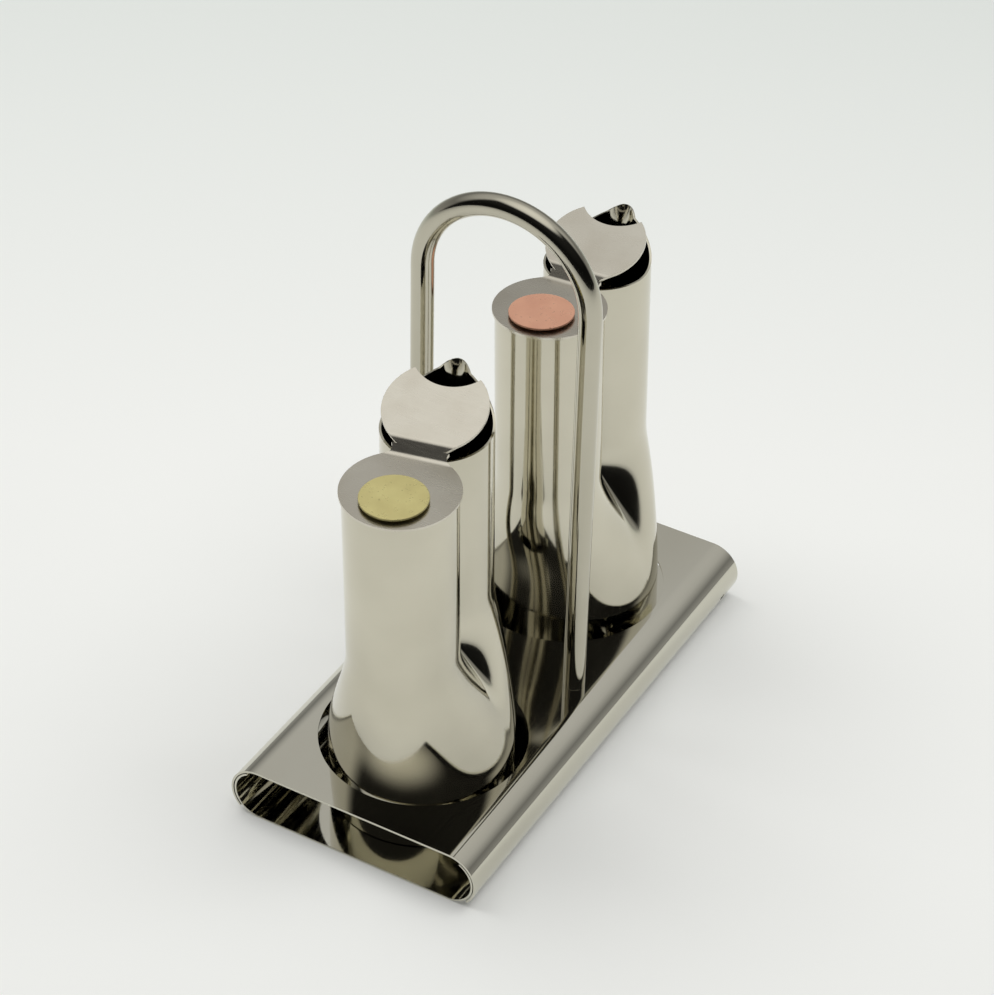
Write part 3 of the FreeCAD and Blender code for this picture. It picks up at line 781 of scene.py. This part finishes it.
def build_room():
    """Bright ceiling over a dim room, darker on the side of the camera."""
    world = bpy.data.worlds.new("studio")
    bpy.context.scene.world = world
    world.use_nodes = True
    nodes = world.node_tree.nodes
    links = world.node_tree.links
    back = nodes["Background"]
    coords = nodes.new("ShaderNodeTexCoord")
    split = nodes.new("ShaderNodeSeparateXYZ")
    ramp = nodes.new("ShaderNodeValToRGB")
    links.new(coords.outputs["Generated"], split.inputs[0])
    links.new(split.outputs["Z"], ramp.inputs["Fac"])
    elements = ramp.color_ramp.elements
    while len(elements) < len(ROOM_BANDS):
        elements.new(0.5)
    for element, (height, level) in zip(elements, ROOM_BANDS):
        element.position = height
        element.color = (*(level * c for c in ROOM_TINT), 1)
    facing = nodes.new("ShaderNodeVectorMath")
    facing.operation = "DOT_PRODUCT"
    links.new(coords.outputs["Generated"], facing.inputs[0])
    facing.inputs[1].default_value = CAMERA_SIDE

    def share(value, limits):
        node = nodes.new("ShaderNodeMapRange")
        node.interpolation_type = "SMOOTHSTEP"
        node.inputs["From Min"].default_value = limits[0]
        node.inputs["From Max"].default_value = limits[1]
        links.new(value, node.inputs["Value"])
        return node.outputs["Result"]

    maths = maths_in(world.node_tree)
    dark = maths("MULTIPLY", share(facing.outputs["Value"], ROOM_DARK_SIDE),
                 maths("SUBTRACT", 1.0, share(split.outputs["Z"], ROOM_DARK_HEIGHT[::-1])))
    links.new(ramp.outputs["Color"], back.inputs["Color"])
    links.new(maths("SUBTRACT", 1.0, maths("MULTIPLY", dark, ROOM_DARKNESS)), back.inputs["Strength"])


def add_lamp(name, place):
    """Softbox aimed at the set, which the polished steel doesn't mirror as a square."""
    lamp = bpy.data.lights.new(name, "AREA")
    lamp.shape = "SQUARE"
    lamp.size = LAMP_SIZE
    lamp.energy = LAMP_POWER
    obj = link(bpy.data.objects.new(name, lamp))
    obj.rotation_euler = (-Vector(place)).to_track_quat("-Z", "Y").to_euler()
    obj.location = place
    obj.visible_glossy = False


def build_camera():
    away = Vector(CAMERA_SIDE) * math.cos(CAMERA_ELEVATION)
    away.z = math.sin(CAMERA_ELEVATION)
    right = Vector((0, 0, 1)).cross(away).normalized()
    up = away.cross(right)
    across = right * math.cos(CAMERA_ROLL) + up * math.sin(CAMERA_ROLL)
    above = up * math.cos(CAMERA_ROLL) - right * math.sin(CAMERA_ROLL)
    camera = bpy.data.cameras.new("camera")
    camera.sensor_fit = "HORIZONTAL"
    camera.sensor_width = CAMERA_SENSOR
    camera.lens = FOCAL_PIXELS / IMAGE_WIDTH * CAMERA_SENSOR
    camera.clip_end = CAMERA_REACH
    obj = link(bpy.data.objects.new("camera", camera))
    rotation = Matrix((across, above, away)).transposed().to_4x4()
    obj.matrix_world = Matrix.Translation(CAMERA_TARGET + away * CAMERA_DISTANCE) @ rotation
    bpy.context.scene.camera = obj


# The set, its studio and the camera

steel = polished_steel()
# The handle tube uses the body's polished steel painted darker at level 0.86, as painted shade.
tube_steel_painted_shade = polished_steel("tube_steel_painted_shade", 0.86)
sheet_steel = rolled_steel()
lid_steel = satin_steel()
brass = thumb_metal("brass", (0.66, 0.59, 0.26), (0.58, 0.51, 0.22), (0.30, 0.25, 0.10))
copper = thumb_metal("copper", (0.78, 0.42, 0.28), (0.70, 0.36, 0.24), (0.42, 0.20, 0.13))
screws = screw_steel()

build_shell(sheet_steel)
build_tray(sheet_steel)
build_handle(tube_steel_painted_shade)
finished_copy("handle_screws", "pan_head_screws", screws, "holder", SCREW_EDGE)
repaint("handle_plugs", screws)
for cruet, thumb, thumb_slot in (("oil", brass, "brass"), ("vinegar", copper, "copper")):
    build_body(cruet, steel)
    lid_body = cruet + "_lid_set"
    finished_copy(cruet + "_base", cruet + "_base_plate", steel, cruet + "_cruet", PLATE_EDGE)
    finished_copy(cruet + "_lid", cruet + "_lid_plate", lid_steel, lid_body, LID_EDGE)
    finished_copy(cruet + "_lid_collar", cruet + "_collar", steel, lid_body, PLATE_EDGE)
    finished_copy(cruet + "_thumb_disc", cruet + "_thumb_rivet", thumb, lid_body, DISC_EDGE)

build_studio()
build_camera()
bpy.context.scene.view_settings.view_transform = "Standard"
